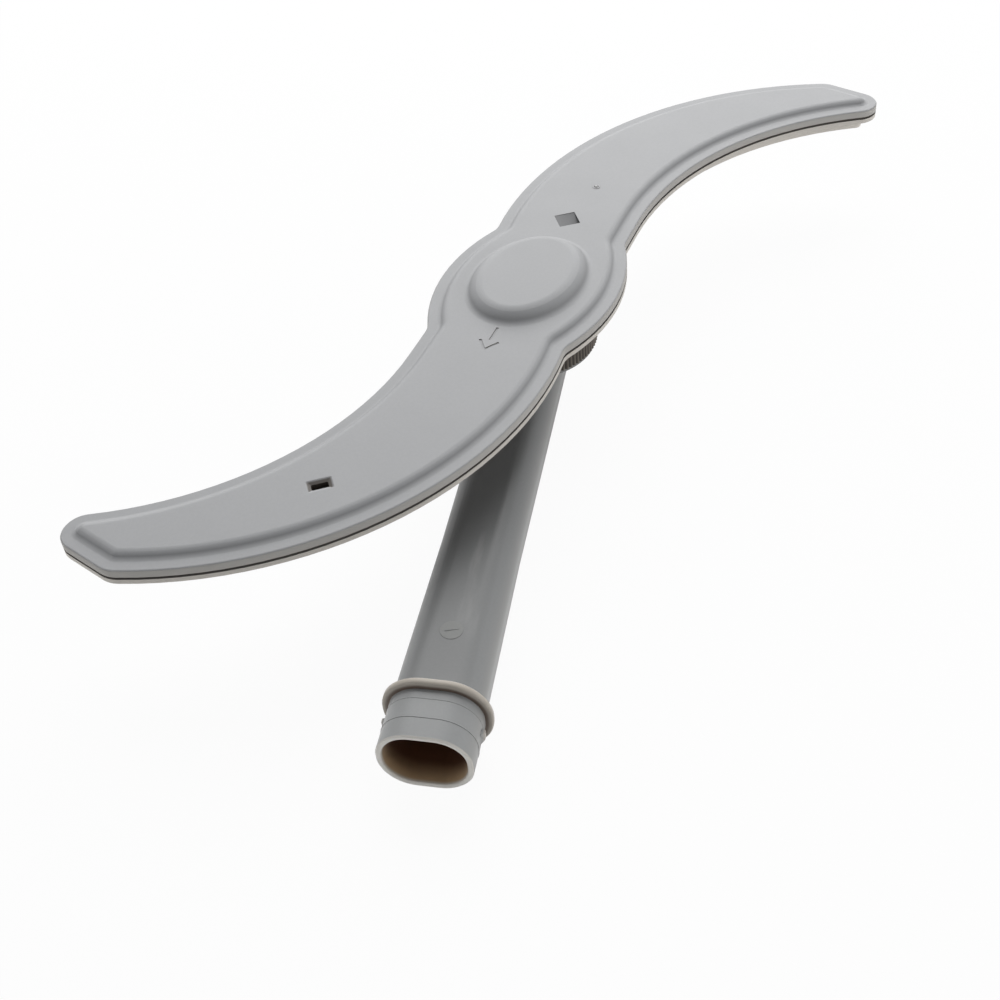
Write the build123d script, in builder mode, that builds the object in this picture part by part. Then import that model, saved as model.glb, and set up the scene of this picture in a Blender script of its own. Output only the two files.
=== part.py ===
from build123d import *
import os
from math import cos, radians, sin, tan

# Dishwasher spray arm on its feed tube, lying on the tube with the arm on top.
# The arm spins about Z. The tube runs along -Y with its flat underside at Z = 0.

# Feed tube
TUBE_W = 32.6
TUBE_H = 26.4
TUBE_CORNER = 11.0
TUBE_WALL = 2.4
TUBE_STRAIGHT = 130.0
END_BEVEL = 4.0
END_POCKET = 10.0
FLARE_W = 35.0
COLLAR_AT = 210.5
COLLAR_T = 3.2
COLLAR_LIP = 2.9
COLLAR_BEVEL = 0.8
SPIGOT_W = 36.4
SPIGOT_H = 30.0
SPIGOT_CORNER = 14.0
SPIGOT_L = 21.8
MOUTH_BEVEL = 0.7
NUB_AT = 7.3
NUB_L = 3.4
NUB_H = 5.0
NUB_OUT = 1.2

# Outlet at the tube's closed end
PLATE_R = 29.5
PLATE_T = 4.0
PLATE_RISE = 1.3
SKIRT_DROP = 8.0
THREAD_R = 26.5
THREAD_WALL = 3.0
THREAD_H = 7.7
NECK_STEP = 0.6
NECK_WALL = 3.0
NECK_H = 11.1

# Bearing between the tube and the arm
BEARING_FIT = 0.08
THREAD_FIT = 0.1
PLAY = 0.3
WASH_GAP = 0.4
BUSH_WALL = 3.6
FLANGE_GAP = 0.7
FLANGE_T = 2.0
NUT_R = 30.5
NUT_LIP = 2.6
NUT_GAP = 0.7
RIB_COUNT = 90
RIB_DEEP = 0.8

# Arm seen from above, one blade; the other is half a turn on
HUB_R = 42.7
HUB_SIDE_R = 89.0
HUB_SHIFT = 11.5
CONVEX_R = 165.4
CONVEX_ROOT = 23.7
CONVEX_START = 29.8
CONCAVE_DROP = 20.4
CONCAVE_ROOT = 40.4
CONCAVE_START = 25.9
ROOT_LEAN = 11.5
TIP_REACH = 232.0
TIP_FACING = 62.4
TIP_CORNER = 12.0
NOSE_R = 10.0
NOTCH_R = 10.0
HAIR = 0.001

# Arm section
RIM_T = 3.7
SEAM_H = 1.2
SEAM_DEEP = 1.3
LOWER_RIM_T = 2.2
LIP_W = 5.6
RIM_BEVEL = 0.7
SHELL_WALL = 1.8
FACE_H = 2.4
FACE_DRAFT = 45.0
FACE_BEVEL = 1.0
TRAY_H = 6.3
TRAY_DRAFT = 12.0
DOME_LONG = 34.2
DOME_WIDE = 26.2
DOME_TURN = 75.0
DOME_H = 5.0
DOME_WALL_H = 3.2
DOME_WALL_RUN = 2.6
DOME_CROWN_RUN = 3.4

# Nozzles, placed by angle along the blade's middle line
SLOT_ANGLE = 132.6
SLOT_TURN = -17.0
SLOT_L = 7.0
SLOT_W = 3.2
FUNNEL_L = 10.8
FUNNEL_W = 7.0
FUNNEL_DEEP = 0.9
FUNNEL_ROUND = 0.6
PAD_DEEP = 3.2
PAD_MARGIN = 1.6
POCKET_ANGLE = 171.6
POCKET_TURN = -57.0
POCKET_SIDE = 10.0
POCKET_DEEP = 2.6
POCKET_EDGE = 0.5
POCKET_FLOOR = 1.4
POCKET_SLIT = 1.0
HOLE_ANGLE = 160.0
HOLE_ASIDE = 2.4
HOLE_R = 1.1
HOLE_RING_R = 1.9
HOLE_RING_H = 0.2
JET_FIRST = 121.0
JET_RANGE = 46.0
JET_COUNT = 4
JET_L = 9.0
JET_W = 2.6
JET_BEZEL = 1.6
JET_RISE = 0.8

# Arrow sunk in the arm's face
ARROW_BEARING = -101.5
ARROW_FROM = 2.8
ARROW_L = 15.7
ARROW_SHAFT = 9.1
ARROW_HEAD = 7.4
ARROW_SPREAD = 36.0
ARROW_LINE = 1.2
ARROW_DEEP = 0.4

# Heights worked out from the sizes above
PLATE_TOP = TUBE_H + PLATE_RISE
THREAD_TOP = PLATE_TOP + THREAD_H
FLANGE_LOW = THREAD_TOP + PLAY
FLANGE_TOP = FLANGE_LOW + FLANGE_T
LIP_LOW = FLANGE_TOP + PLAY
NUT_TOP = LIP_LOW + NUT_LIP
TRAY_LOW = NUT_TOP + NUT_GAP
TRAY_FLOOR = TRAY_LOW + SHELL_WALL
RIM_LOW = TRAY_LOW + TRAY_H
SEAM_LOW = RIM_LOW + LOWER_RIM_T
SEAM_TOP = SEAM_LOW + SEAM_H
RIM_TOP = SEAM_TOP + RIM_T
FACE_Z = RIM_TOP + FACE_H
CEILING = FACE_Z - SHELL_WALL

# Places worked out from the sizes above
PLATE_LOW = PLATE_TOP - PLATE_T
SKIRT_LOW = PLATE_LOW - SKIRT_DROP
SKIRT_ROOT = TUBE_W / 2 - TUBE_WALL / 2
NECK_TOP = PLATE_TOP + NECK_H
TUBE_MID = TUBE_H / 2
COLLAR_FRONT = COLLAR_AT + COLLAR_T
NECK_BORE = TUBE_W / 2 - TUBE_WALL - NECK_STEP
NECK_R = NECK_BORE + NECK_WALL
BUSH_BORE = NECK_R + WASH_GAP
BUSH_R = BUSH_BORE + BUSH_WALL
FLANGE_R = THREAD_R - FLANGE_GAP
CONCAVE_R = CONVEX_R - CONCAVE_DROP
CONVEX_MID = Vector(CONVEX_R - CONVEX_ROOT, CONVEX_START)
CONCAVE_MID = Vector(CONCAVE_R + CONCAVE_ROOT, CONCAVE_START)
BLADE_MID = (CONVEX_MID + CONCAVE_MID) / 2
BLADE_R = (CONVEX_R + CONCAVE_R) / 2
CAVITY_INSET = LIP_W + SHELL_WALL
TRAY_LEAN = TRAY_H * tan(radians(TRAY_DRAFT))
INNER_CORNER = TIP_CORNER - LIP_W
TIP_WAY = Vector(1, 0).rotate(Axis.Z, TIP_FACING)


def blade_point(angle, aside):
    """Point at an angle about the middle line's centre, aside from the blade's middle line."""
    return BLADE_MID + Vector(cos(radians(angle)), sin(radians(angle))) * (BLADE_R - aside)


def blade_plane(angle, turn, height, half_turn=0.0, aside=0.0):
    """Plane on the blade, its X along the blade and then turned."""
    spot = blade_point(angle, aside).rotate(Axis.Z, half_turn)
    along = angle - 90 + turn + half_turn
    return Plane((spot.X, spot.Y, height), x_dir=(cos(radians(along)), sin(radians(along)), 0))


def arm_outline(inset):
    """Outline of the whole arm with sharp corners, drawn in by an inset."""
    convex_r = CONVEX_R - inset
    concave_r = CONCAVE_R + inset
    lean = radians(ROOT_LEAN)
    root = CONCAVE_MID + Vector(-concave_r * cos(lean), concave_r * sin(lean))
    tip = TIP_WAY * (TIP_REACH - inset)
    tip_run = TIP_WAY.rotate(Axis.Z, 90) * TIP_REACH
    hub_side = Vector(HUB_R - HUB_SIDE_R, HUB_SHIFT)
    with BuildSketch() as blade:
        with Locations(CONVEX_MID + Vector(TIP_REACH / 2, 0)):
            SlotCenterToCenter(TIP_REACH, 2 * convex_r)
        with Locations(CONCAVE_MID + Vector(TIP_REACH / 2, 0)):
            SlotCenterToCenter(TIP_REACH, 2 * concave_r, mode=Mode.SUBTRACT)
        with BuildLine():
            Polyline(
                (-TIP_REACH, 0),
                (root.X - root.Y * tan(lean), 0),
                root,
                ((tip - tip_run).X, root.Y),
                tip - tip_run,
                tip + tip_run,
                close=True,
            )
        make_face(mode=Mode.INTERSECT)
    with BuildSketch() as outline:
        with Locations(hub_side):
            Circle(HUB_SIDE_R - inset)
        with Locations(-hub_side):
            Circle(HUB_SIDE_R - inset, mode=Mode.INTERSECT)
        add(blade.sketch)
        add(blade.sketch, rotation=180)
    return outline.sketch


def tip_corners(plan, inset):
    """Corners on the two tip lines, those near the convex edges first."""

    def on_tip(vertex):
        return abs(abs(vertex.center().dot(TIP_WAY)) - TIP_REACH + inset) < HAIR

    return plan.vertices().filter_by(on_tip).sort_by(lambda v: abs(v.X))


def nosed_plan(height, inset):
    """The arm's outline at a height, with only its two noses rounded."""
    with BuildSketch(Plane.XY.offset(height)) as plan:
        add(arm_outline(inset))
        fillet(tip_corners(plan, inset)[-2:], NOSE_R - inset)
    return plan.sketch


def rounded_plan(height, inset, corner_r):
    """The arm's outline at a height, with its tips and the notches beside the hub rounded."""
    with BuildSketch(Plane.XY.offset(height)) as plan:
        add(nosed_plan(0, inset))
        fillet(tip_corners(plan, inset)[:2], corner_r)
        notches = plan.vertices().sort_by(lambda v: v.center().length)[:4]
        fillet(notches, NOTCH_R)
    return plan.sketch


def tube_section(at, width, height, corner):
    """Rounded section of the tube at a distance from the spin axis."""
    with BuildSketch(Plane.XZ.offset(at)) as section:
        with Locations((0, TUBE_MID)):
            RectangleRounded(width, height, corner)
    return section.sketch


def ring_section(points):
    """Half section to be turned about the spin axis, as pairs of radius and height."""
    with BuildSketch(Plane.XZ) as section:
        with BuildLine():
            Polyline(*points, close=True)
        make_face()
    return section.sketch


def dome_levels(inset, foot_z):
    """Ovals of the dome or of its hollow at its foot, shoulder and crown."""
    levels = []
    for run, rise in (
        (0, 0),
        (DOME_WALL_RUN, DOME_WALL_H),
        (DOME_WALL_RUN + DOME_CROWN_RUN, DOME_H),
    ):
        with BuildSketch(Plane.XY.offset(foot_z + rise)) as level:
            Ellipse(DOME_LONG - inset - run, DOME_WIDE - inset - run, rotation=DOME_TURN)
        levels.append(level.sketch)
    return levels


# Sections of the feed tube
collar_section = tube_section(
    COLLAR_AT,
    SPIGOT_W + 2 * COLLAR_LIP,
    SPIGOT_H + 2 * COLLAR_LIP,
    SPIGOT_CORNER + COLLAR_LIP,
)
spigot_section = tube_section(COLLAR_AT, SPIGOT_W, SPIGOT_H, SPIGOT_CORNER)
near_section = tube_section(-TUBE_W / 2, TUBE_W, TUBE_H, TUBE_CORNER)
straight_section = tube_section(TUBE_STRAIGHT, TUBE_W, TUBE_H, TUBE_CORNER)
flare_section = tube_section(COLLAR_AT, FLARE_W, TUBE_H, TUBE_CORNER)
BORE_H = TUBE_H - 2 * TUBE_WALL
BORE_CORNER = TUBE_CORNER - TUBE_WALL
near_bore = tube_section(0, TUBE_W - 2 * TUBE_WALL, BORE_H, BORE_CORNER)
straight_bore = tube_section(TUBE_STRAIGHT, TUBE_W - 2 * TUBE_WALL, BORE_H, BORE_CORNER)
flare_bore = tube_section(COLLAR_AT, FLARE_W - 2 * TUBE_WALL, BORE_H, BORE_CORNER)
mouth_bore = tube_section(
    COLLAR_AT,
    SPIGOT_W - 2 * TUBE_WALL,
    SPIGOT_H - 2 * TUBE_WALL,
    SPIGOT_CORNER - TUBE_WALL,
)
outlet_section = ring_section(
    [
        (0, SKIRT_LOW),
        (SKIRT_ROOT, SKIRT_LOW),
        (PLATE_R, PLATE_LOW),
        (PLATE_R, PLATE_TOP),
        (THREAD_R, PLATE_TOP),
        (THREAD_R, THREAD_TOP),
        (THREAD_R - THREAD_WALL, THREAD_TOP),
        (THREAD_R - THREAD_WALL, PLATE_TOP),
        (NECK_R, PLATE_TOP),
        (NECK_R, NECK_TOP),
        (0, NECK_TOP),
    ]
)
outlet_bore = ring_section(
    [(0, TUBE_MID), (NECK_BORE, TUBE_MID), (NECK_BORE, NECK_TOP), (0, NECK_TOP)]
)
end_pocket = ring_section(
    [
        (0, TUBE_WALL),
        (END_POCKET, TUBE_WALL),
        (END_POCKET, TUBE_H - TUBE_WALL),
        (0, TUBE_H - TUBE_WALL),
    ]
)
end_trim = ring_section(
    [
        (TUBE_W / 2 - END_BEVEL, 0),
        (TUBE_W / 2, END_BEVEL),
        (TUBE_W / 2, TUBE_H),
        (TUBE_W, TUBE_H),
        (TUBE_W, 0),
    ]
)
with BuildSketch(Plane.YZ.offset(SPIGOT_W / 2)) as nub_foot:
    with Locations((-COLLAR_FRONT - NUB_AT, TUBE_MID)):
        Rectangle(NUB_L, NUB_H)
with BuildSketch(Plane.YZ.offset(SPIGOT_W / 2 + NUB_OUT)) as nub_crest:
    with Locations((-COLLAR_FRONT - NUB_AT + NUB_L / 4, TUBE_MID)):
        Rectangle(NUB_L / 2, NUB_H - NUB_OUT)

# Feed tube: collar, spigot, flared tube, closed round end and outlet, then the way through
with BuildPart() as feed_tube:
    extrude(collar_section, amount=COLLAR_T)
    chamfer(feed_tube.edges().filter_by(Axis.Y, reverse=True), COLLAR_BEVEL)
    extrude(spigot_section, amount=COLLAR_T + SPIGOT_L)
    loft([nub_foot.sketch, nub_crest.sketch])
    mirror(about=Plane.YZ)
    extrude(near_section, amount=TUBE_W / 2 + TUBE_STRAIGHT)
    revolve(end_trim, Axis.Z, revolution_arc=180, mode=Mode.SUBTRACT)
    loft([straight_section, flare_section])
    revolve(outlet_section, Axis.Z)
    extrude(near_bore, amount=TUBE_STRAIGHT, mode=Mode.SUBTRACT)
    loft([straight_bore, flare_bore], mode=Mode.SUBTRACT)
    extrude(mouth_bore, amount=COLLAR_T + SPIGOT_L, mode=Mode.SUBTRACT)
    revolve(end_pocket, Axis.Z, mode=Mode.SUBTRACT)
    revolve(outlet_bore, Axis.Z, mode=Mode.SUBTRACT)
    chamfer(feed_tube.faces().sort_by(Axis.Y)[0].edges(), MOUTH_BEVEL)

# Ribbed ring that screws on the outlet and holds the bush's flange
rib_points = []
for i in range(2 * RIB_COUNT):
    rib_r = NUT_R - RIB_DEEP * (i % 2)
    rib_angle = radians(180 * i / RIB_COUNT)
    rib_points.append((rib_r * cos(rib_angle), rib_r * sin(rib_angle)))
with BuildSketch(Plane.XY.offset(PLATE_TOP)) as rib_plan:
    with BuildLine():
        Polyline(*rib_points, close=True)
    make_face()
with BuildSketch(Plane.XY.offset(PLATE_TOP)) as nut_thread:
    Circle(THREAD_R + THREAD_FIT)
with BuildSketch(Plane.XY.offset(LIP_LOW)) as nut_lip:
    Circle(BUSH_R + BEARING_FIT)
with BuildPart() as ring_nut:
    extrude(rib_plan.sketch, amount=NUT_TOP - PLATE_TOP)
    extrude(nut_thread.sketch, amount=LIP_LOW - PLATE_TOP, mode=Mode.SUBTRACT)
    extrude(nut_lip.sketch, amount=NUT_LIP, mode=Mode.SUBTRACT)

# Flanged bush that carries the arm
bush_section = ring_section(
    [
        (BUSH_BORE, FLANGE_LOW),
        (FLANGE_R, FLANGE_LOW),
        (FLANGE_R, FLANGE_TOP),
        (BUSH_R, FLANGE_TOP),
        (BUSH_R, TRAY_LOW),
        (BUSH_BORE, TRAY_LOW),
    ]
)
with BuildPart() as hub_bush:
    revolve(bush_section, Axis.Z)

# Outlines of the two shells at their levels
upper_rim = rounded_plan(SEAM_TOP, 0, TIP_CORNER)
upper_tongue = rounded_plan(SEAM_LOW, SEAM_DEEP, TIP_CORNER - SEAM_DEEP)
upper_face = rounded_plan(RIM_TOP, LIP_W, INNER_CORNER)
lower_rim = rounded_plan(RIM_LOW, 0, TIP_CORNER)
lower_tray = rounded_plan(RIM_LOW, LIP_W, INNER_CORNER)
shell_hollow = nosed_plan(SEAM_LOW, CAVITY_INSET)
lower_hollow = nosed_plan(SEAM_LOW, CAVITY_INSET + TRAY_LEAN)
dome_outer = dome_levels(0, FACE_Z)
dome_hollow = dome_levels(SHELL_WALL, CEILING)

# Slot nozzle with a funnel, on the blade half a turn on
slot_plane = blade_plane(SLOT_ANGLE, SLOT_TURN, FACE_Z, 180)
with BuildSketch(slot_plane.offset(-SHELL_WALL)) as slot_pad:
    Rectangle(FUNNEL_L + 2 * PAD_MARGIN, FUNNEL_W + 2 * PAD_MARGIN)
with BuildSketch(slot_plane) as funnel_mouth:
    RectangleRounded(FUNNEL_L, FUNNEL_W, FUNNEL_ROUND)
with BuildSketch(slot_plane.offset(-FUNNEL_DEEP)) as funnel_throat:
    RectangleRounded(SLOT_L, SLOT_W, FUNNEL_ROUND)

# Square pocket with a sloped floor and a slit at its deep side
pocket_plane = blade_plane(POCKET_ANGLE, POCKET_TURN, FACE_Z)
pocket_side = Plane(pocket_plane.origin, x_dir=pocket_plane.x_dir, z_dir=-pocket_plane.y_dir)
with BuildSketch(pocket_plane.offset(-SHELL_WALL)) as pocket_pad:
    Rectangle(POCKET_SIDE + 2 * PAD_MARGIN, POCKET_SIDE + 2 * PAD_MARGIN)
with BuildSketch(pocket_side) as pocket_wedge:
    with BuildLine():
        Polyline(
            (-POCKET_SIDE / 2, 0),
            (-POCKET_SIDE / 2, -POCKET_EDGE),
            (POCKET_SIDE / 2, -POCKET_DEEP),
            (POCKET_SIDE / 2, 0),
            close=True,
        )
    make_face()
with BuildSketch(pocket_side) as pocket_slit:
    with Locations((POCKET_SIDE / 2, -POCKET_DEEP)):
        Rectangle(2 * PAD_MARGIN + POCKET_SLIT, POCKET_SLIT, align=(Align.CENTER, Align.MIN))

# Small round hole with a raised ring, and the arrow
hole_plane = blade_plane(HOLE_ANGLE, 0, FACE_Z, aside=HOLE_ASIDE)
with BuildSketch(hole_plane) as hole_ring:
    Circle(HOLE_RING_R)
with BuildSketch(hole_plane.offset(HOLE_RING_H)) as hole:
    Circle(HOLE_R)
arrow_way = Vector(1, 0).rotate(Axis.Z, ARROW_BEARING)
arrow_plane = Plane(arrow_way * (DOME_LONG + ARROW_FROM) + Vector(0, 0, FACE_Z), x_dir=arrow_way)
with BuildSketch(arrow_plane) as arrow:
    Rectangle(ARROW_SHAFT, ARROW_LINE, align=(Align.MIN, Align.CENTER))
    with Locations((ARROW_L, 0)):
        Rectangle(ARROW_HEAD, ARROW_LINE, rotation=ARROW_SPREAD, align=(Align.MAX, Align.CENTER))
        Rectangle(ARROW_HEAD, ARROW_LINE, rotation=-ARROW_SPREAD, align=(Align.MAX, Align.CENTER))

# Upper shell: rim with a set-back tongue, raised face, dome, and the hollow under them
with BuildPart() as upper_shell:
    extrude(upper_rim, amount=RIM_T)
    chamfer(upper_shell.faces().sort_by(Axis.Z)[-1].edges(), RIM_BEVEL)
    extrude(upper_tongue, amount=SEAM_H)
    extrude(upper_face, amount=FACE_H, taper=FACE_DRAFT)
    chamfer(upper_shell.faces().sort_by(Axis.Z)[-1].edges(), FACE_BEVEL)
    loft(dome_outer, ruled=True)
    extrude(shell_hollow, amount=CEILING - SEAM_LOW, mode=Mode.SUBTRACT)
    loft(dome_hollow, ruled=True, mode=Mode.SUBTRACT)
    extrude(slot_pad.sketch, amount=-PAD_DEEP)
    extrude(pocket_pad.sketch, amount=SHELL_WALL - POCKET_DEEP - POCKET_FLOOR)
    loft([funnel_mouth.sketch, funnel_throat.sketch], mode=Mode.SUBTRACT)
    extrude(funnel_throat.sketch, amount=-PAD_DEEP, mode=Mode.SUBTRACT)
    extrude(pocket_wedge.sketch, amount=POCKET_SIDE / 2, both=True, mode=Mode.SUBTRACT)
    extrude(pocket_slit.sketch, amount=POCKET_SIDE / 2 - PAD_MARGIN, both=True, mode=Mode.SUBTRACT)
    extrude(hole_ring.sketch, amount=HOLE_RING_H)
    extrude(hole.sketch, amount=-HOLE_RING_H - SHELL_WALL, mode=Mode.SUBTRACT)
    extrude(arrow.sketch, amount=-ARROW_DEEP, mode=Mode.SUBTRACT)

# Slot jets along both blades, through the lower shell's floor
jet_planes = []
for half_turn in (0, 180):
    for i in range(JET_COUNT):
        jet_angle = JET_FIRST + JET_RANGE * i / (JET_COUNT - 1)
        jet_planes.append(blade_plane(jet_angle, 0, TRAY_LOW, half_turn))
with BuildSketch(*jet_planes) as jet_bezels:
    Rectangle(JET_L + 2 * JET_BEZEL, JET_W + 2 * JET_BEZEL)
with BuildSketch(*[plane.offset(-JET_RISE) for plane in jet_planes]) as jets:
    Rectangle(JET_L, JET_W)
with BuildSketch(Plane.XY.offset(TRAY_LOW)) as hub_hole:
    Circle(BUSH_BORE)

# Lower shell: rim, tray, hollow, the hole over the bush and the jets
with BuildPart() as lower_shell:
    extrude(lower_rim, amount=LOWER_RIM_T)
    extrude(lower_tray, amount=-TRAY_H, taper=TRAY_DRAFT)
    extrude(lower_hollow, amount=TRAY_FLOOR - SEAM_LOW, mode=Mode.SUBTRACT)
    extrude(hub_hole.sketch, amount=SHELL_WALL, mode=Mode.SUBTRACT)
    extrude(jet_bezels.sketch, amount=-JET_RISE)
    extrude(jets.sketch, amount=JET_RISE + SHELL_WALL, mode=Mode.SUBTRACT)

os.makedirs("parts", exist_ok=True)
feed_tube.part.label = "feed_tube"
ring_nut.part.label = "ring_nut"
hub_bush.part.label = "hub_bush"
upper_shell.part.label = "upper_shell"
lower_shell.part.label = "lower_shell"
export_step(feed_tube.part, "parts/feed_tube.step")
export_step(ring_nut.part, "parts/ring_nut.step")
export_step(hub_bush.part, "parts/hub_bush.step")
export_step(upper_shell.part, "parts/upper_shell.step")
export_step(lower_shell.part, "parts/lower_shell.step")
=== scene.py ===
from math import cos, pi, radians, sin

import bmesh
import bpy
from mathutils import Matrix, Vector


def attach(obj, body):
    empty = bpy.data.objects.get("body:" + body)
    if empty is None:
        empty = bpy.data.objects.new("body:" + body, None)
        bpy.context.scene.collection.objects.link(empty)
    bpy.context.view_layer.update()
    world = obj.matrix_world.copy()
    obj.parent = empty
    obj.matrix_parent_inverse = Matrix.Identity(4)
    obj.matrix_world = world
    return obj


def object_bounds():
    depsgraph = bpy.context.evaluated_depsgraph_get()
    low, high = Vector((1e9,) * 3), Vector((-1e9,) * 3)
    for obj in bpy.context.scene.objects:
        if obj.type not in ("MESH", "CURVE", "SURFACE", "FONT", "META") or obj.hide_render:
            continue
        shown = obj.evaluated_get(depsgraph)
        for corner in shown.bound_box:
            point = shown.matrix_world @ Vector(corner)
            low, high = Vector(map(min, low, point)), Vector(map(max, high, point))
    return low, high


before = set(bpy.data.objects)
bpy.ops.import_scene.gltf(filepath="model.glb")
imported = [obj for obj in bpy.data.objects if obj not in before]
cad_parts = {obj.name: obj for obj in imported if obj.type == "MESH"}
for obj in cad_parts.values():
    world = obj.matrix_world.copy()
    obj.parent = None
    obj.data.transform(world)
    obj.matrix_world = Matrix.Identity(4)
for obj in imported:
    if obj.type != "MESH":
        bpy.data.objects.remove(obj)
cad_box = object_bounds()
scene = bpy.context.scene
scene.view_settings.view_transform = "Standard"

# Sizes and places on the object are in millimetres; floor, lamps and camera are in metres
MM = 0.001
UP = Vector((0.0, 0.0, 1.0))

# Heights of the arm's lip, step, face and dome, the dome's reach, and the groove between the shells
RIM_TOP = 54.7
SHOULDER_Z = 56.393
FACE_TOP = 57.1
DOME_SHOULDER = 60.3
DOME_REACH = 36.0
DOME_CLEAR = 0.5
SEAM = (49.8, 51.0)
LEVEL_SLACK = 0.02

# The slot nozzle, the square pocket and the small hole on the face
SLOT_AT = (-58.5, -142.1)
SLOT_REACH = 9.0
THROAT_DEEP = 0.85
FUNNEL_DEEP = 0.45
POCKET_AT = (10.0, 50.5)
POCKET_REACH = 8.6
POCKET_EDGE = 0.05
HOLE_AT = (19.96, 80.11)
PIP_R = 0.8
PIP_SEGMENTS = (16, 10)

# The pocket's corners in plan, with the depths of its ramp and of the solid's floor there
POCKET_CORNERS = (
    (3.387, 52.987, 0.1, 0.5), (12.48, 57.15, 0.2, 2.6),
    (7.55, 43.895, 0.45, 0.5), (16.643, 48.057, 2.4, 2.6),
)
RAMP_STEPS = 8
RAMP_SINK = 0.04

# Round of the dome's edges, and the shares of it at the lip's foot and the face's crest
ROUND = 1.9
ROUND_SEGMENTS = 4
FOOT_SHARE = 0.68
CREST_SHARE = 0.48

# Bends in degrees: the least of a foot or crest, the most of a crest, and the slot's crisp edges
LEAST_BEND = 15
MOST_BEND = 35
SLOT_BEND = 10

# The bend in degrees over which an edge of each solid stays sharp
SHARP_OVER = {"upper_shell": 50, "lower_shell": 40, "hub_bush": 35, "ring_nut": 20, "feed_tube": 46}

# Triangles of the solids are joined within this gap and this bend, and normals follow the large faces
JOIN_GAP = 0.002
FLAT_BEND = 0.4
FACE_WEIGHT = 75

# Sizes of the tube's end that its colours, the fine lines and the stamp follow
TUBE_TOP = 26.4
TUBE_MID = 13.2
SPIGOT_W = 36.4
SPIGOT_H = 30.0
SPIGOT_CORNER = 14.0
CORNER_STEPS = 10
LINES_AT = (218.0, 226.4)
LINE_R = (0.14, 0.2)
COLLAR_BACK = 210.5
COLLAR_FRONT = 213.7
MOUTH_AT = 235.5
STAMP_AT = (0.3, -183.5)
STAMP_R = 4.6
STAMP_H = 0.16
STAMP_LINE = 0.2
STAMP_TURN = 18.0
STAMP_SEGMENTS = 48
BAR_SHARE = 0.6

# Ribs on the outlet plate's edge, in line with the ring nut's
PLATE_TOP = 27.7
RIBS_LOW = 25.3
PLATE_R = 29.5
PLATE_SINK = 0.3
RIB_R = 30.5
RIB_DEEP = 0.8
RIB_COUNT = 90

# Each plastic's colour, the colour of its upright walls, the share of that, and the roughness; the walls'
# colour is a warm tint which on the arm's two shells is also paler as painted light
PLASTICS = {
    "arm_plastic": ((0.405, 0.408, 0.415), (0.50, 0.48, 0.445), 0.8, 0.55),
    "lower_plastic": ((0.42, 0.40, 0.38), (0.70, 0.66, 0.60), 0.85, 0.5),
    "bush_plastic": ((0.30, 0.30, 0.30), (0.27, 0.26, 0.25), 0.4, 0.42),
    "nut_plastic": ((0.09, 0.079, 0.069), (0.06, 0.052, 0.044), 0.8, 0.5),
    "tube_plastic": ((0.33, 0.335, 0.335), (0.36, 0.355, 0.34), 0.6, 0.44),
    "stamp_plastic": ((0.255, 0.258, 0.252), (0.24, 0.235, 0.22), 0.5, 0.5),
    "pip_plastic": ((0.72, 0.72, 0.71), (0.6, 0.6, 0.59), 0.5, 0.4),
}

# Colours of single places on the arm, the nut and the tube: painted shade in the groove between the shells,
# on the steps, in the slot, in the pocket, in the collar's corner and deep in the mouth, and painted light
# on the rib crests and on the mouth's rim
GROOVE_PAINTED_SHADE = (0.09, 0.075, 0.06)
STEP_PAINTED_SHADE = (0.10, 0.10, 0.105)
THROAT_PAINTED_SHADE = (0.03, 0.026, 0.022)
FUNNEL_PAINTED_SHADE = (0.08, 0.068, 0.056)
POCKET_PAINTED_SHADE = (0.14, 0.142, 0.146)
RIB_PAINTED_LIGHT = (0.21, 0.183, 0.155)
SCUFF_PALE = (0.46, 0.46, 0.45)
COLLAR_BEIGE = (0.50, 0.455, 0.395)
COLLAR_PAINTED_SHADE = (0.14, 0.10, 0.075)
MOUTH_RIM_PAINTED_LIGHT = (0.92, 0.89, 0.83)
MOUTH_TAN = (0.66, 0.47, 0.28)
MOUTH_PAINTED_SHADE = (0.14, 0.06, 0.03)
WHITE = (1.0, 1.0, 1.0)

# Scale, detail and roughness of the plastic's clouds, specks, satin, grain, streaks and patches
CLOUDS = (9.0, 3.0, 0.55)
SPECKS = (900.0, 2.0, 0.6)
SATIN = (60.0, 3.0, 0.5)
GRAIN = (2200.0, 2.0, 0.6)
STREAKS = (55.0, 4.0, 0.6)
PATCHES = (22.0, 2.0, 0.5)
NOISE_BAND = (0.3, 0.7)
CLOUD_SPREAD = 0.012
SPECK_SPREAD = 0.015
SATIN_SPREAD = 0.012
GRAIN_STRENGTH = 0.12
GRAIN_DEEP = 0.06
SPECULAR = 0.3
SHEEN = 0.5
SHEEN_ROUGH = 0.35

# Where colours change: walls and steps by their upward normal, edges by a short blur
UPRIGHT = (0.25, 0.75)
STEEP = (0.65, 0.95)
LEVEL = (0.8, 1.0)
EDGE_BLUR = 0.1
# Shares of painted shade at the step's foot and crest and on the dome, the funnel walls' painted shade, and
# the band of painted light on the rib crests
FOOT_SHADE = (0.5, 0.2)
DOME_SHADE = 0.3
FUNNEL_TURN = (0.25, 0.33)
FUNNEL_SHADE = 0.9
RIB_BAND = (0.7, 0.1)

# The tube's painted shadow of the arm along its length, the painted shade on its flat top, and its scuffs
PAINTED_SHADOW_AT = (205.0, 100.0)
PAINTED_SHADOW = (0.84, 0.68)
TOP_AT = (205.0, 130.0)
TOP_SHADE = (0.2, 0.25)
STREAK_STRETCH = (1.0, 0.16, 1.0)
STREAK_BAND = (0.56, 0.7)
PATCH_BAND = (0.5, 0.66)
SCUFF_SHARE = 0.25

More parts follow.
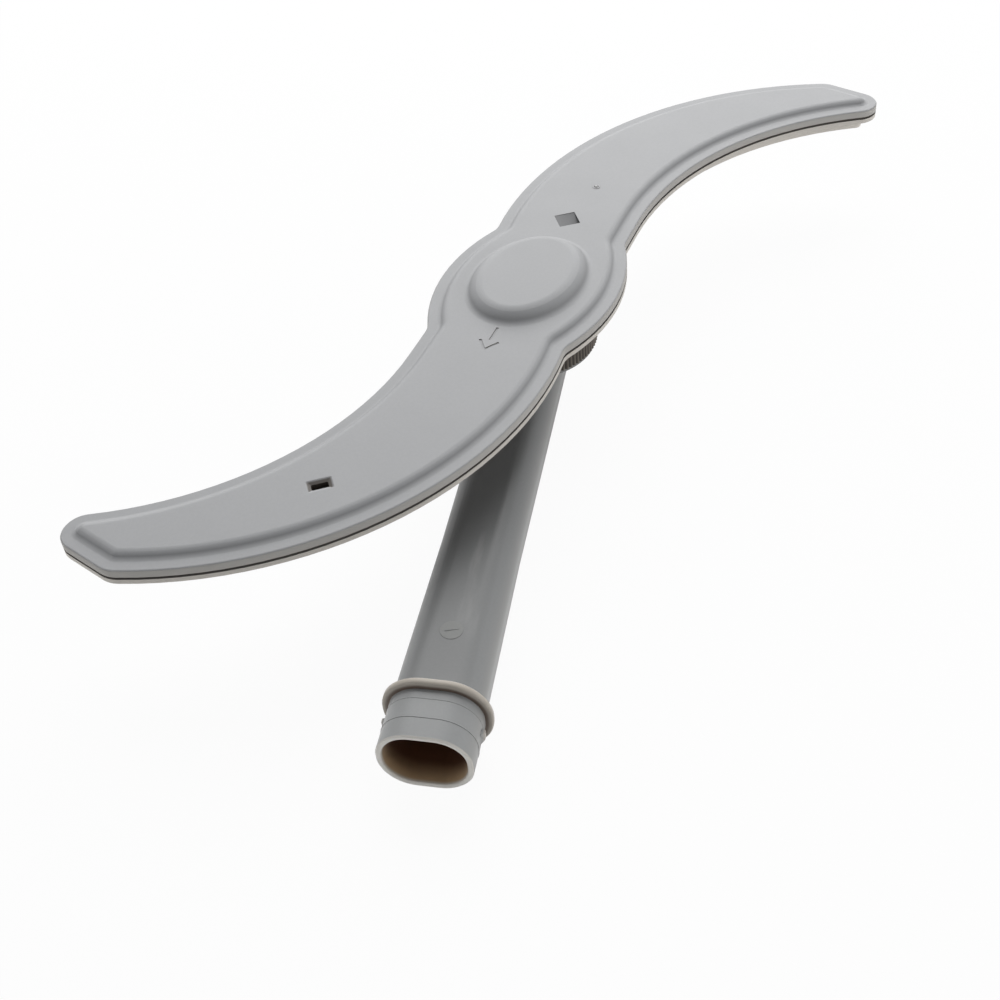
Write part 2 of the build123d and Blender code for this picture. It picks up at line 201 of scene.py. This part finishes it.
# Bands of the collar's and mouth's colours, as distances past the spigot's side or behind its mouth; the
# brown band is painted shade in the collar's corner, the rim band painted light on the mouth's cut, and the
# deep band painted shade inside
COLLAR_SLACK = 0.05
COLLAR_BAND = (0.3, 1.6)
BROWN_BAND = (0.6, 2.2)
BROWN_REACH = 0.4
INSIDE_BAND = (-2.1, -1.7)
CUT_BAND = (0.2, 0.9)
RIM_BAND = (0.1, 2.0)
DEEP_BAND = (0.5, 11.0)

# Floor, surroundings and lamps: each lamp's name, place, target, size and power
FLOOR_HALF = 6
FLOOR_GREY = (0.86, 0.86, 0.86)
FLOOR_ROUGH = 0.9
FLOOR_GLOW = 0.95
SKY_COLOUR = (0.93, 0.96, 1.0)
SKY_LIGHT = 0.14
LAMPS = (
    ("key", (-0.22, 1.27, 1.15), (0.0, 0.0, 0.05), 1.8, 38.5),
    ("side", (1.2, -0.1, 0.3), (0.0, -0.05, 0.03), 0.8, 5.2),
    ("front", (-0.3, -1.3, 0.12), (0.0, -0.1, 0.03), 0.5, 1.6),
    ("far_side", (-1.2, -0.35, 0.25), (0.0, -0.1, 0.03), 0.8, 2.5),
)

# The photograph's camera
LENS = 51.325
SENSOR = 36.0
NEAREST = 0.01
CAMERA_AT = (0.11188, -0.52309, 0.43296)
CAMERA_RIGHT = (0.98046, 0.18353, -0.07083)
CAMERA_UP = (-0.07734, 0.69066, 0.71904)
CAMERA_BACK = (0.18088, -0.69952, 0.69135)


# Materials

class Tree:
    """A node tree, with what materials, modifiers and surroundings share."""

    def __init__(self, tree):
        self.tree = tree
        self.tree.nodes.clear()

    def add(self, kind, **values):
        """A new node with its settings."""
        node = self.tree.nodes.new(kind)
        for key, value in values.items():
            setattr(node, key, value)
        return node

    def link(self, a, b):
        """Joins an output to an input."""
        self.tree.links.new(a, b)

    def feed(self, socket, value):
        """Joins an output to a socket, or sets the socket's own value."""
        if hasattr(value, "is_output"):
            self.link(value, socket)
        else:
            socket.default_value = value

    def math(self, operation, a, b=0.0):
        """One sum of two values."""
        node = self.add("ShaderNodeMath", operation=operation)
        self.feed(node.inputs[0], a)
        self.feed(node.inputs[1], b)
        return node.outputs[0]

    def split(self, vector):
        """A vector's three parts."""
        node = self.add("ShaderNodeSeparateXYZ")
        self.link(vector, node.inputs[0])
        return node.outputs

    def distance(self, place, spot):
        """How far a place is from a spot on the object."""
        node = self.add("ShaderNodeVectorMath", operation="DISTANCE")
        self.link(place, node.inputs[0])
        node.inputs[1].default_value = Vector(spot) * MM
        return node.outputs["Value"]

    def seen(self):
        """One for rays from the camera, from gloss and through clear pieces."""
        rays = self.add("ShaderNodeLightPath").outputs
        found = rays["Is Camera Ray"]
        for kind in ("Is Glossy Ray", "Is Transmission Ray"):
            found = self.math("MAXIMUM", found, rays[kind])
        return found

    def blend(self, share, a, b):
        """A mix of two shaders."""
        node = self.add("ShaderNodeMixShader")
        self.link(share, node.inputs[0])
        self.link(a, node.inputs[1])
        self.link(b, node.inputs[2])
        return node.outputs[0]


class Nodes(Tree):
    """A material's node tree with one principled surface."""

    def __init__(self, name):
        self.material = bpy.data.materials.new(name)
        self.material.use_nodes = True
        super().__init__(self.material.node_tree)
        self.out = self.add("ShaderNodeOutputMaterial").inputs["Surface"]
        self.surface = self.add("ShaderNodeBsdfPrincipled")
        self.link(self.surface.outputs[0], self.out)
        self.place = self.add("ShaderNodeTexCoord").outputs["Object"]

    def put(self, name, value):
        """Feeds one of the surface's sockets."""
        self.feed(self.surface.inputs[name], value)

    def base(self):
        """The colour that reaches the surface so far."""
        return self.surface.inputs["Base Color"].links[0].from_socket

    def tint(self, share, colour):
        """Lays a colour over the surface's own."""
        self.put("Base Color", self.mix(share, self.base(), colour))

    def stretched(self, sizes):
        """The place on the object, scaled along each axis."""
        node = self.add("ShaderNodeMapping")
        self.link(self.place, node.inputs["Vector"])
        node.inputs["Scale"].default_value = sizes
        return node.outputs[0]

    def noise(self, kind, vector=None):
        """Cloudy noise of a given scale, detail and roughness."""
        node = self.add("ShaderNodeTexNoise")
        self.link(vector or self.place, node.inputs["Vector"])
        for name, value in zip(("Scale", "Detail", "Roughness"), kind):
            node.inputs[name].default_value = value
        return node.outputs["Fac"]

    def ramp(self, value, low, high, start=0.0, end=1.0):
        """Goes smoothly from start to end as a value goes from low to high."""
        node = self.add("ShaderNodeMapRange", interpolation_type="SMOOTHSTEP")
        self.link(value, node.inputs["Value"])
        for name, limit in zip(("From Min", "From Max", "To Min", "To Max"), (low, high, start, end)):
            node.inputs[name].default_value = limit
        return node.outputs["Result"]

    def mottle(self, kind, middle, spread):
        """Noise that strays about a middle value."""
        return self.ramp(self.noise(kind), *NOISE_BAND, middle - spread, middle + spread)

    def mix(self, share, a, b, blend="MIX"):
        """A mix of two colours."""
        node = self.add("ShaderNodeMix", data_type="RGBA", blend_type=blend)
        self.feed(node.inputs[0], share)
        for socket, colour in ((node.inputs[6], a), (node.inputs[7], b)):
            self.feed(socket, (*colour, 1.0) if isinstance(colour, tuple) else colour)
        return node.outputs[2]

    def grey(self, value):
        """A grey of one value."""
        node = self.add("ShaderNodeCombineColor")
        for socket in list(node.inputs)[:3]:
            self.feed(socket, value)
        return node.outputs[0]

    def bump(self, height, strength, distance):
        """Fine relief of the surface."""
        node = self.add("ShaderNodeBump")
        self.link(height, node.inputs["Height"])
        node.inputs["Strength"].default_value = strength
        node.inputs["Distance"].default_value = distance
        return node.outputs[0]

    def normal(self):
        """The three parts of the way a face looks."""
        return self.split(self.add("ShaderNodeNewGeometry").outputs["Normal"])

    def length(self, a, b):
        """Length of a flat vector."""
        squares = self.math("ADD", self.math("MULTIPLY", a, a), self.math("MULTIPLY", b, b))
        return self.math("SQRT", squares)


def moulded(name):
    """Satin moulded plastic: cloudy tone, fine grain, upright walls in their own colour, a warm tint which
    on the arm's shells is also painted light.
    """
    colour, wall, wall_share, rough = PLASTICS[name]
    n = Nodes(name)
    tone = n.math("MULTIPLY", n.mottle(CLOUDS, 1.0, CLOUD_SPREAD), n.mottle(SPECKS, 1.0, SPECK_SPREAD))
    n.put("Base Color", n.mix(1.0, colour, n.grey(tone), "MULTIPLY"))
    # Upright walls take their own colour: a warm tint, and on the arm's shells painted light
    n.tint(n.ramp(n.math("ABSOLUTE", n.normal()[2]), *UPRIGHT, wall_share, 0.0), wall)
    n.put("Roughness", n.mottle(SATIN, rough, SATIN_SPREAD))
    n.put("Specular IOR Level", SPECULAR)
    n.put("Normal", n.bump(n.noise(GRAIN), GRAIN_STRENGTH, GRAIN_DEEP * MM))
    return n


def paint_seam_shade(n):
    """Paints shade into the groove between the two shells."""
    z = n.split(n.place)[2]
    low, high = SEAM
    above = n.ramp(z, (low - EDGE_BLUR) * MM, (low + EDGE_BLUR) * MM)
    below = n.ramp(z, (high - EDGE_BLUR) * MM, (high + EDGE_BLUR) * MM, 1.0, 0.0)
    n.tint(n.math("MULTIPLY", above, below), GROOVE_PAINTED_SHADE)
    return n


def arm_plastic():
    """The arm's grey, with painted shade on the slopes of its step and dome, in the slot, in the pocket and
    in the seam's groove.
    """
    n = paint_seam_shade(moulded("arm_plastic"))
    z = n.split(n.place)[2]

    def hole(spot, reach):
        return n.math("LESS_THAN", n.distance(n.place, (*spot, FACE_TOP)), reach * MM)

    def sunk(start, end):
        return n.ramp(z, (FACE_TOP - end) * MM, (FACE_TOP - start) * MM, 1.0, 0.0)

    # Painted shade on the slopes of the step and the dome, strongest at the step's foot
    steep = n.ramp(n.normal()[2], *STEEP, 1.0, 0.0)
    sloped = n.math("MULTIPLY", steep, n.math("GREATER_THAN", z, RIM_TOP * MM))
    foot = n.ramp(z, RIM_TOP * MM, FACE_TOP * MM, *FOOT_SHADE)
    on_dome = n.math("GREATER_THAN", z, (FACE_TOP + LEVEL_SLACK) * MM)
    dome_shade = n.ramp(z, FACE_TOP * MM, DOME_SHOULDER * MM, DOME_SHADE, 0.0)
    shade_share = n.math("ADD", foot, n.math("MULTIPLY", on_dome, dome_shade))
    n.tint(n.math("MULTIPLY", sloped, shade_share), STEP_PAINTED_SHADE)

    # Painted shade in the slot's throat
    slot = hole(SLOT_AT, SLOT_REACH)
    n.tint(n.math("MULTIPLY", slot, sunk(THROAT_DEEP, THROAT_DEEP + EDGE_BLUR)), THROAT_PAINTED_SHADE)
    # Painted shade on the funnel's walls that face the front
    turned = n.math("MULTIPLY", slot, n.ramp(n.normal()[1], *FUNNEL_TURN, FUNNEL_SHADE, 0.0))
    n.tint(n.math("MULTIPLY", turned, sunk(LEVEL_SLACK, FUNNEL_DEEP)), FUNNEL_PAINTED_SHADE)

    # Painted shade inside the pocket
    pocket = hole(POCKET_AT, POCKET_REACH)
    n.tint(n.math("MULTIPLY", pocket, sunk(POCKET_EDGE, POCKET_EDGE + EDGE_BLUR)), POCKET_PAINTED_SHADE)
    return n.material


def nut_plastic():
    """Dark brown, with painted light on the rib crests."""
    n = moulded("nut_plastic")
    x, y, z = n.split(n.place)
    # Painted light on the rib crests, paler outward from the grooves
    low, high = (RIB_R - share * RIB_DEEP for share in RIB_BAND)
    n.tint(n.ramp(n.length(x, y), low * MM, high * MM), RIB_PAINTED_LIGHT)
    return n.material


def tube_plastic():
    """The tube's grey, with scuffs along it, a beige collar, and tan on the inside and at the cut mouth;
    painted shadow of the arm along it and on its flat top, painted shade in the collar's corner and deep in
    the mouth, and painted light on the mouth's rim.
    """
    n = moulded("tube_plastic")
    n.put("Sheen Weight", SHEEN)
    n.put("Sheen Roughness", SHEEN_ROUGH)
    x, y, z = n.split(n.place)

    def along(far, near, start=0.0, end=1.0):
        return n.ramp(y, -far * MM, -near * MM, start, end)

    def behind_mouth(band, start=0.0, end=1.0):
        return along(MOUTH_AT - band[0], MOUTH_AT - band[1], start, end)

    def past(reach):
        return n.math("LESS_THAN", y, -reach * MM)

    # Painted shadow of the arm along the tube and painted shade on its flat top, left off the spigot
    top = n.math("MULTIPLY", n.ramp(n.normal()[2], *LEVEL), along(*TOP_AT, *TOP_SHADE))
    painted_shadow = n.math("MULTIPLY", along(*PAINTED_SHADOW_AT, *PAINTED_SHADOW), n.math("SUBTRACT", 1.0, top))
    spigot = along(COLLAR_FRONT, COLLAR_BACK, 1.0, 0.0)
    n.tint(n.math("SUBTRACT", 1.0, spigot), n.mix(1.0, n.base(), n.grey(painted_shadow), "MULTIPLY"))

    streak = n.ramp(n.noise(STREAKS, n.stretched(STREAK_STRETCH)), *STREAK_BAND, 0.0, SCUFF_SHARE)
    n.tint(n.math("MULTIPLY", streak, n.ramp(n.noise(PATCHES), *PATCH_BAND)), SCUFF_PALE)

    beyond = []
    for offset, half in ((x, SPIGOT_W / 2), (n.math("SUBTRACT", z, TUBE_MID * MM), SPIGOT_H / 2)):
        gap = n.math("SUBTRACT", n.math("ABSOLUTE", offset), (half - SPIGOT_CORNER) * MM)
        beyond.append(n.math("MAXIMUM", gap, 0.0))
    off = n.length(*beyond)

    def outside(band, start=0.0, end=1.0):
        return n.ramp(off, (SPIGOT_CORNER + band[0]) * MM, (SPIGOT_CORNER + band[1]) * MM, start, end)

    n.tint(n.math("MULTIPLY", outside(COLLAR_BAND), past(COLLAR_BACK - COLLAR_SLACK)), COLLAR_BEIGE)
    # Painted shade in the collar's inner corner
    front = along(COLLAR_FRONT + BROWN_REACH, COLLAR_FRONT - COLLAR_SLACK)
    corner = n.math("MULTIPLY", outside(BROWN_BAND, 1.0, 0.0), front)
    n.tint(n.math("MULTIPLY", corner, past(COLLAR_BACK)), COLLAR_PAINTED_SHADE)

    # Tan inside the mouth, with painted light on its cut rim
    inside = n.math("MULTIPLY", outside(INSIDE_BAND, 1.0, 0.0), past(COLLAR_BACK))
    cut = behind_mouth(CUT_BAND, 1.0, 0.0)
    # The tan fades into painted shade deeper inside
    tan = n.mix(behind_mouth(DEEP_BAND), MOUTH_TAN, MOUTH_PAINTED_SHADE)
    n.tint(n.math("MAXIMUM", inside, cut), n.mix(behind_mouth(RIM_BAND), MOUTH_RIM_PAINTED_LIGHT, tan))
    return n.material


# Soft edges of the solids

class Steps(Tree):
    """A geometry-nodes modifier on one solid."""

    def __init__(self, node, name):
        super().__init__(bpy.data.node_groups.new(name + "_" + node.name, "GeometryNodeTree"))
        for way in ("INPUT", "OUTPUT"):
            self.tree.interface.new_socket("Geometry", in_out=way, socket_type="NodeSocketGeometry")
        self.start, self.end = self.add("NodeGroupInput"), self.add("NodeGroupOutput")
        node.modifiers.new(name, "NODES").node_group = self.tree

    def compare(self, operation, value, limit, within=0.0):
        """True where a value lies so to a limit."""
        made = self.add("FunctionNodeCompare", data_type="FLOAT", operation=operation)
        self.link(value, made.inputs["A"])
        made.inputs["B"].default_value = limit
        if operation == "EQUAL":
            made.inputs["Epsilon"].default_value = within
        return made.outputs[0]

    def both(self, a, b, operation="AND"):
        """Joins two marks."""
        made = self.add("FunctionNodeBooleanMath", operation=operation)
        self.link(a, made.inputs[0])
        self.link(b, made.inputs[1])
        return made.outputs[0]

    def edge_angle(self, kind):
        """The bend at an edge."""
        return self.add("GeometryNodeInputMeshEdgeAngle").outputs[kind]

    def place(self):
        """The place on the solid."""
        return self.add("GeometryNodeInputPosition").outputs[0]

    def near(self, spot, reach):
        """True within a reach of a spot on the face."""
        return self.compare("LESS_THAN", self.distance(self.place(), (*spot, FACE_TOP)), reach * MM)

    def level(self, height, at):
        """True at one height."""
        return self.compare("EQUAL", height, at * MM, LEVEL_SLACK * MM)


def mark_rounds(node):
    """Bevel weights for the inner corners and the crests of the raised face and of the dome."""
    steps = Steps(node, "rounds")
    bend = steps.edge_angle("Signed Angle")
    height = steps.split(steps.place())[2]
    hollow = steps.compare("LESS_THAN", bend, -radians(LEAST_BEND))
    on_lip = steps.level(height, RIM_TOP)
    on_face = steps.level(height, FACE_TOP)
    by_dome = steps.both(on_face, steps.near((0, 0), DOME_REACH))
    crest = steps.both(steps.compare("GREATER_THAN", bend, radians(LEAST_BEND)),
                       steps.compare("LESS_THAN", bend, radians(MOST_BEND)))
    dome = steps.both(crest, steps.compare("GREATER_THAN", height, (FACE_TOP + DOME_CLEAR) * MM))
    crest = steps.both(crest, steps.both(on_face, steps.level(height, SHOULDER_Z), "OR"))
    crest = steps.both(crest, steps.near(SLOT_AT, SLOT_REACH), "NIMPLY")
    weight = 0.0
    for marked, share in ((steps.both(hollow, by_dome), 1.0), (dome, 1.0),
                          (steps.both(hollow, on_lip), FOOT_SHARE), (crest, CREST_SHARE)):
        weight = steps.math("MAXIMUM", weight, steps.math("MULTIPLY", marked, share))
    store = steps.add("GeometryNodeStoreNamedAttribute", data_type="FLOAT", domain="EDGE")
    store.inputs["Name"].default_value = "bevel_weight_edge"
    steps.link(steps.start.outputs[0], store.inputs["Geometry"])
    steps.link(weight, store.inputs["Value"])
    steps.link(store.outputs[0], steps.end.inputs[0])


def smooth_under(node, angle):
    """Shades the faces smooth, and keeps the slot's edges and those over an angle sharp."""
    steps = Steps(node, "smooth")
    bend = steps.edge_angle("Unsigned Angle")
    soft = steps.compare("LESS_EQUAL", bend, radians(angle))
    crisp = steps.compare("GREATER_THAN", bend, radians(SLOT_BEND))
    soft = steps.both(soft, steps.both(steps.near(SLOT_AT, SLOT_REACH), crisp), "NIMPLY")
    faces = steps.add("GeometryNodeSetShadeSmooth")
    edges = steps.add("GeometryNodeSetShadeSmooth", domain="EDGE")
    steps.link(steps.start.outputs[0], faces.inputs["Geometry"])
    steps.link(faces.outputs[0], edges.inputs["Geometry"])
    steps.link(soft, edges.inputs["Shade Smooth"])
    steps.link(edges.outputs[0], steps.end.inputs[0])


def shade(node, material, angle, rounds):
    """Joins the solid's triangles, rounds the marked edges and shades it smooth, by modifiers only."""
    join = node.modifiers.new("join", "WELD")
    join.merge_threshold = JOIN_GAP * MM
    flat = node.modifiers.new("flat", "DECIMATE")
    flat.decimate_type = "DISSOLVE"
    flat.angle_limit = radians(FLAT_BEND)
    if rounds:
        mark_rounds(node)
        soft = node.modifiers.new("soft", "BEVEL")
        soft.limit_method = "WEIGHT"
        soft.width = rounds * MM
        soft.segments = ROUND_SEGMENTS
        soft.use_clamp_overlap = False
    smooth_under(node, angle)
    normals = node.modifiers.new("normals", "WEIGHTED_NORMAL")
    normals.mode = "FACE_AREA"
    normals.weight = FACE_WEIGHT
    normals.keep_sharp = True
    node.data.materials.clear()
    node.data.materials.append(material)


arm_material = arm_plastic()
tube_material = tube_plastic()
nut_material = nut_plastic()
looks = {
    "upper_shell": arm_material,
    "lower_shell": paint_seam_shade(moulded("lower_plastic")).material,
    "hub_bush": moulded("bush_plastic").material,
    "ring_nut": nut_material,
    "feed_tube": tube_material,
}
for name, material in looks.items():
    shade(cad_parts[name], material, SHARP_OVER[name], ROUND if name == "upper_shell" else 0.0)


# Pieces that the solids leave out

def piece_from(name, bm, material, smooth):
    """Turns a closed mesh into a piece of the scene."""
    bmesh.ops.recalc_face_normals(bm, faces=bm.faces)
    mesh = bpy.data.meshes.new(name)
    bm.to_mesh(mesh)
    bm.free()
    for face in mesh.polygons:
        face.use_smooth = smooth
    mesh.materials.append(material)
    piece = bpy.data.objects.new(name, mesh)
    scene.collection.objects.link(piece)
    return piece


def on_tube(piece):
    """Keeps a piece of the tube's plastic with the tube."""
    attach(piece, "tube")


def on_arm(piece):
    """Lets a piece of the arm's plastic spin with the arm."""
    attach(piece, "arm")


def rounded_loop(width, height, corner, steps):
    """Points and outward normals of a rounded rectangle about its middle."""
    found = []
    for k, (sx, sz) in enumerate(((1, 1), (-1, 1), (-1, -1), (1, -1))):
        for i in range(steps + 1):
            a = (k + i / steps) * pi / 2
            out = Vector((cos(a), 0.0, sin(a)))
            middle = Vector((sx * (width / 2 - corner), 0.0, sz * (height / 2 - corner)))
            found.append((middle + out * corner, out))
    return found


def swept(name, path, side, radius, sides=8, closed=True):
    """A round bead of the tube's plastic along a path of points and normals."""
    bm = bmesh.new()
    rings = []
    for point, out in path:
        ring = []
        for j in range(sides):
            a = 2 * pi * j / sides
            ring.append(bm.verts.new((point + (out * cos(a) + side * sin(a)) * radius) * MM))
        rings.append(ring)
    count = len(rings)
    for i in range(count if closed else count - 1):
        a, b = rings[i], rings[(i + 1) % count]
        for j in range(sides):
            bm.faces.new((a[j], a[(j + 1) % sides], b[(j + 1) % sides], b[j]))
    if not closed:
        bm.faces.new(rings[0])
        bm.faces.new(list(reversed(rings[-1])))
    return piece_from(name, bm, tube_material, True)


def spigot_lines():
    """Two fine lines round the spigot."""
    for i, (at, radius) in enumerate(zip(LINES_AT, LINE_R)):
        middle = Vector((0.0, -at, TUBE_MID))
        around = rounded_loop(SPIGOT_W, SPIGOT_H, SPIGOT_CORNER, CORNER_STEPS)
        path = [(point + middle, out) for point, out in around]
        on_tube(swept("spigot_line_%d" % (i + 1), path, Vector((0, 1, 0)), radius))


def stamp():
    """Plain low disc on the tube's top, with a bar across it."""
    middle = Vector((*STAMP_AT, TUBE_TOP))
    bm = bmesh.new()
    bmesh.ops.create_cone(bm, cap_ends=True, segments=STAMP_SEGMENTS, radius1=STAMP_R * MM,
                          radius2=(STAMP_R - STAMP_H) * MM, depth=2 * STAMP_H * MM,
                          matrix=Matrix.Translation(middle * MM))
    on_tube(piece_from("stamp_disc", bm, moulded("stamp_plastic").material, False))
    way = Vector((cos(radians(STAMP_TURN)), sin(radians(STAMP_TURN)), 0.0))
    path = [(middle + UP * STAMP_H + way * (t * BAR_SHARE * STAMP_R), UP) for t in (-1, 0, 1)]
    on_tube(swept("stamp_bar", path, way.cross(UP), STAMP_LINE, closed=False))


def plate_ribs():
    """Ring round the outlet plate's edge, with the nut's ribs on its outside."""
    bm = bmesh.new()
    rings = []
    inner = PLATE_R - PLATE_SINK
    for i in range(2 * RIB_COUNT):
        a = pi * i / RIB_COUNT
        way = Vector((cos(a), sin(a), 0.0))
        outer = RIB_R - RIB_DEEP * (i % 2)
        corners = ((outer, RIBS_LOW), (outer, PLATE_TOP), (inner, PLATE_TOP), (inner, RIBS_LOW))
        rings.append([bm.verts.new((way * r + UP * z) * MM) for r, z in corners])
    for a, b in zip(rings, rings[1:] + rings[:1]):
        for j in range(4):
            bm.faces.new((a[j], b[j], b[(j + 1) % 4], a[(j + 1) % 4]))
    ribs = piece_from("plate_ribs", bm, nut_material, False)
    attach(ribs, "tube")


def pocket_ramp():
    """Closed block in the pocket, whose top falls from the far side to the near right corner."""
    bm = bmesh.new()
    far_left, far_right, near_left, near_right = (Vector(corner) for corner in POCKET_CORNERS)
    middle = (far_left + far_right + near_left + near_right) / 4
    spread = 1 + RAMP_SINK / (middle - far_left).xy.length
    grid = []
    for i in range(RAMP_STEPS + 1):
        left = far_left.lerp(near_left, i / RAMP_STEPS)
        right = far_right.lerp(near_right, i / RAMP_STEPS)
        grid.append([left.lerp(right, j / RAMP_STEPS) for j in range(RAMP_STEPS + 1)])

    def corner_at(at, depth):
        plan = middle.xy + (at.xy - middle.xy) * spread
        return bm.verts.new(Vector((*plan, FACE_TOP - depth)) * MM)

    top = [[corner_at(at, at[2]) for at in row] for row in grid]
    low = [[corner_at(at, at[3] + RAMP_SINK) for at in row] for row in grid]
    strips = [pair for layer in (top, low) for pair in zip(layer, layer[1:])]
    for end in (0, -1):
        strips.append((top[end], low[end]))
        strips.append(([row[end] for row in top], [row[end] for row in low]))
    for a, b in strips:
        for j in range(RAMP_STEPS):
            bm.faces.new((a[j], a[j + 1], b[j + 1], b[j]))
    on_arm(piece_from("pocket_ramp", bm, arm_material, False))


def hole_pip():
    """Pale round pip in the small hole."""
    bm = bmesh.new()
    middle = Vector((*HOLE_AT, FACE_TOP)) * MM
    around, upward = PIP_SEGMENTS
    bmesh.ops.create_uvsphere(bm, u_segments=around, v_segments=upward, radius=PIP_R * MM,
                              matrix=Matrix.Translation(middle))
    on_arm(piece_from("hole_pip", bm, moulded("pip_plastic").material, True))


spigot_lines()
stamp()
plate_ribs()
pocket_ramp()
hole_pip()


# Floor, light and camera

def floor():
    """White floor that stays white to the camera and keeps part of the object's shadow."""
    mesh = bpy.data.meshes.new("floor")
    low = cad_box[0].z
    corners = [(x * FLOOR_HALF, y * FLOOR_HALF, low) for x, y in ((-1, -1), (1, -1), (1, 1), (-1, 1))]
    mesh.from_pydata(corners, [], [(0, 1, 2, 3)])
    piece = bpy.data.objects.new("floor", mesh)
    scene.collection.objects.link(piece)
    n = Nodes("floor_white")
    n.put("Base Color", (*FLOOR_GREY, 1.0))
    n.put("Roughness", FLOOR_ROUGH)
    glow = n.add("ShaderNodeEmission")
    glow.inputs["Color"].default_value = (*WHITE, 1.0)
    glow.inputs["Strength"].default_value = 1.0
    share = n.math("MULTIPLY", n.seen(), FLOOR_GLOW)
    n.link(n.blend(share, n.surface.outputs[0], glow.outputs[0]), n.out)
    mesh.materials.append(n.material)


def sky():
    """Soft surroundings, white where the camera sees past the floor."""
    world = bpy.data.worlds.new("surroundings")
    world.use_nodes = True
    tree = Tree(world.node_tree)
    out = tree.add("ShaderNodeOutputWorld")
    lights = []
    for colour, strength in ((SKY_COLOUR, SKY_LIGHT), (WHITE, 1.0)):
        light = tree.add("ShaderNodeBackground")
        light.inputs["Color"].default_value = (*colour, 1.0)
        light.inputs["Strength"].default_value = strength
        lights.append(light.outputs[0])
    tree.link(tree.blend(tree.seen(), *lights), out.inputs["Surface"])
    scene.world = world


def lamp(name, place, target, size, energy):
    """Soft square lamp that looks at a target."""
    light = bpy.data.lights.new(name, "AREA")
    light.shape = "SQUARE"
    light.size = size
    light.energy = energy
    piece = bpy.data.objects.new(name, light)
    piece.location = place
    piece.rotation_euler = (Vector(target) - Vector(place)).to_track_quat("-Z", "Y").to_euler()
    scene.collection.objects.link(piece)


def photo_camera():
    """The camera at the photograph's viewing angle."""
    data = bpy.data.cameras.new("camera")
    data.lens = LENS
    data.sensor_width = SENSOR
    data.sensor_fit = "HORIZONTAL"
    data.clip_start = NEAREST
    camera = bpy.data.objects.new("camera", data)
    turn = Matrix((CAMERA_RIGHT, CAMERA_UP, CAMERA_BACK)).transposed().to_4x4()
    camera.matrix_world = Matrix.Translation(CAMERA_AT) @ turn
    scene.collection.objects.link(camera)
    scene.camera = camera


floor()
sky()
for values in LAMPS:
    lamp(*values)
photo_camera()

bpy.context.view_layer.update()
